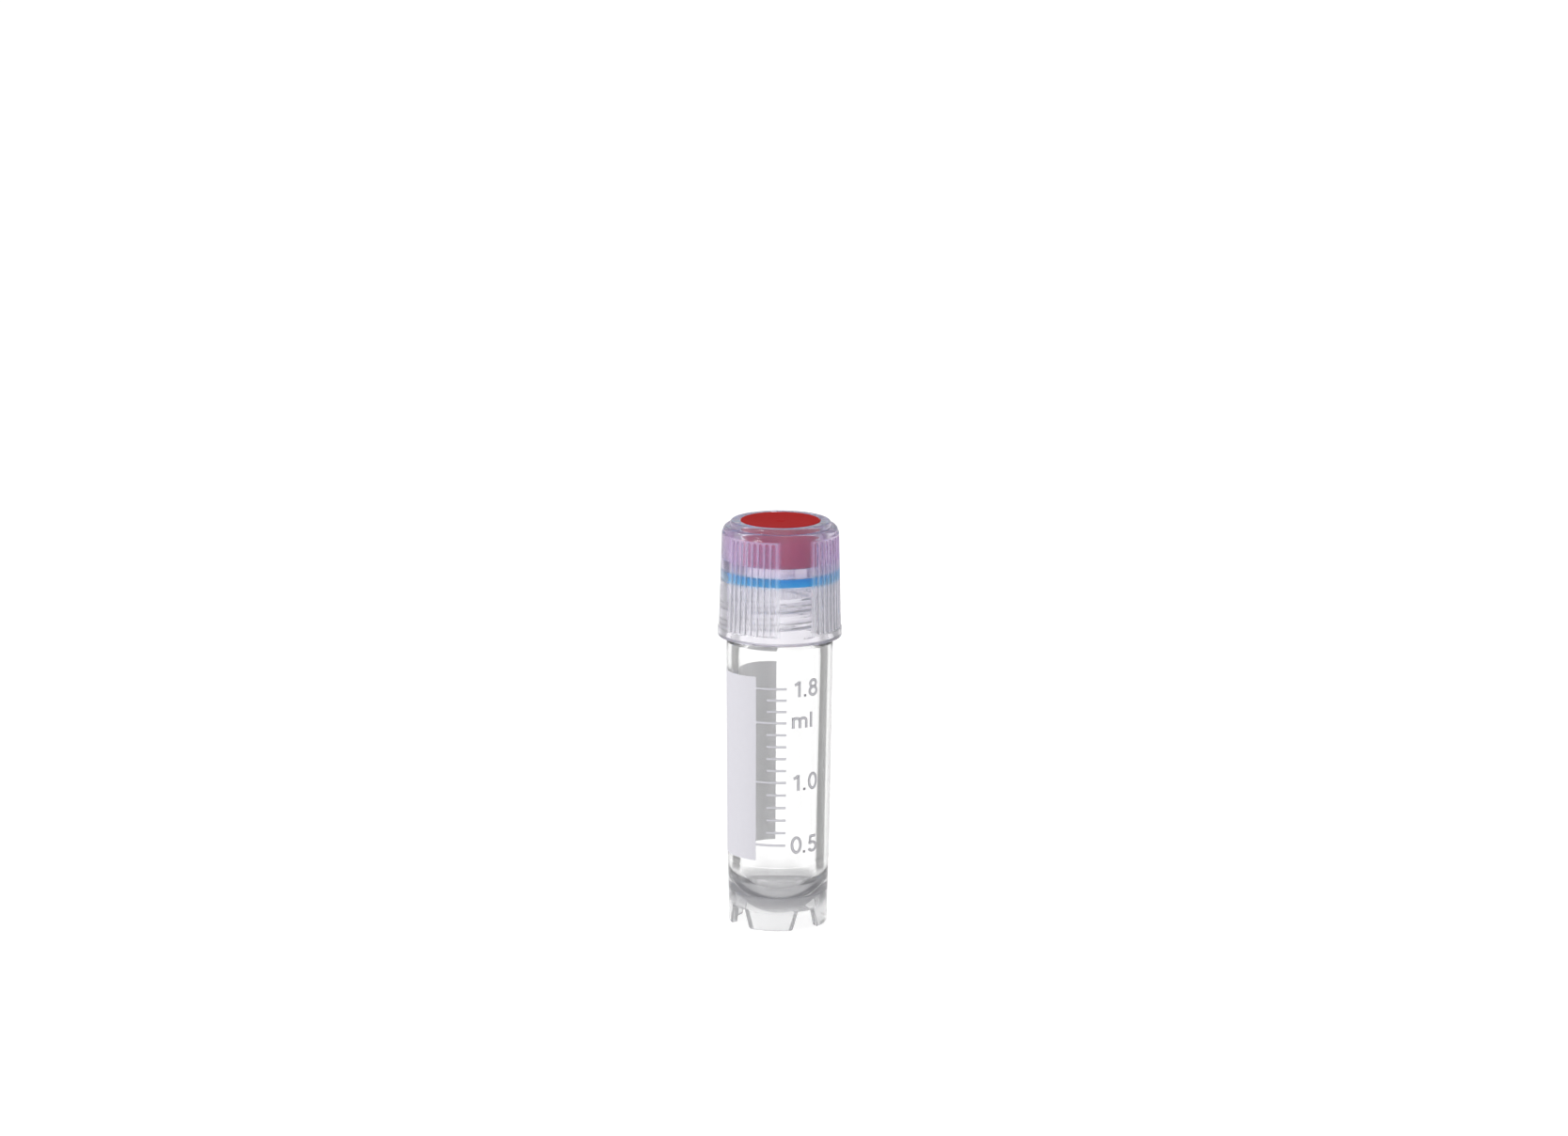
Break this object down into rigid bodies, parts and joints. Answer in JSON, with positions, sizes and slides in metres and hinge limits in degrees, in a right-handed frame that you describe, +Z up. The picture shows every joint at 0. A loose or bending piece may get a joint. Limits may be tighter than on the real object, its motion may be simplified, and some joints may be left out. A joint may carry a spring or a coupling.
{
  "type": "cryovial",
  "caption": "Small clear sample vial with a ribbed lilac screw cap, red top insert, blue sealing washer and a notched skirt that stands by itself.",
  "frame": {"origin": "on the vial's axis, level with the undersides of its feet", "axes": "+Z up along the vial's axis, from the feet to the cap; -Y to the front, where the printed scale is read"},
  "size_m": [0.0146, 0.0146, 0.0484],
  "materials": {
    "tube_plastic": "clear moulded plastic, polished",
    "cap_plastic": "lilac see-through moulded plastic, glossy",
    "washer_rubber": "smooth silicone, satin",
    "insert_plastic": "solid red moulded plastic, satin",
    "print_ink": "screen-printed white ink"
  },
  "bodies": {
    "vial": {"tube": "tube_plastic"},
    "cap_lift": {"gasket": "washer_rubber"},
    "cap_top": {"cap": "cap_plastic", "cap_insert": "insert_plastic"}
  },
  "joints": [
    {"name": "cap_rise", "type": "slide", "parent": "vial", "child": "cap_lift", "axis": [0, 0, 1], "range_m": [0, 0.00724]},
    {"name": "cap_turn", "type": "hinge", "parent": "cap_lift", "child": "cap_top", "pos_m": [0, 0, 0.0415], "axis": [0, 0, 1], "range_deg": [0, 1260]}
  ],
  "couplings": [
    {"joint": "cap_turn", "follows": "cap_rise", "rad_per_m": 3035.3}
  ]
}
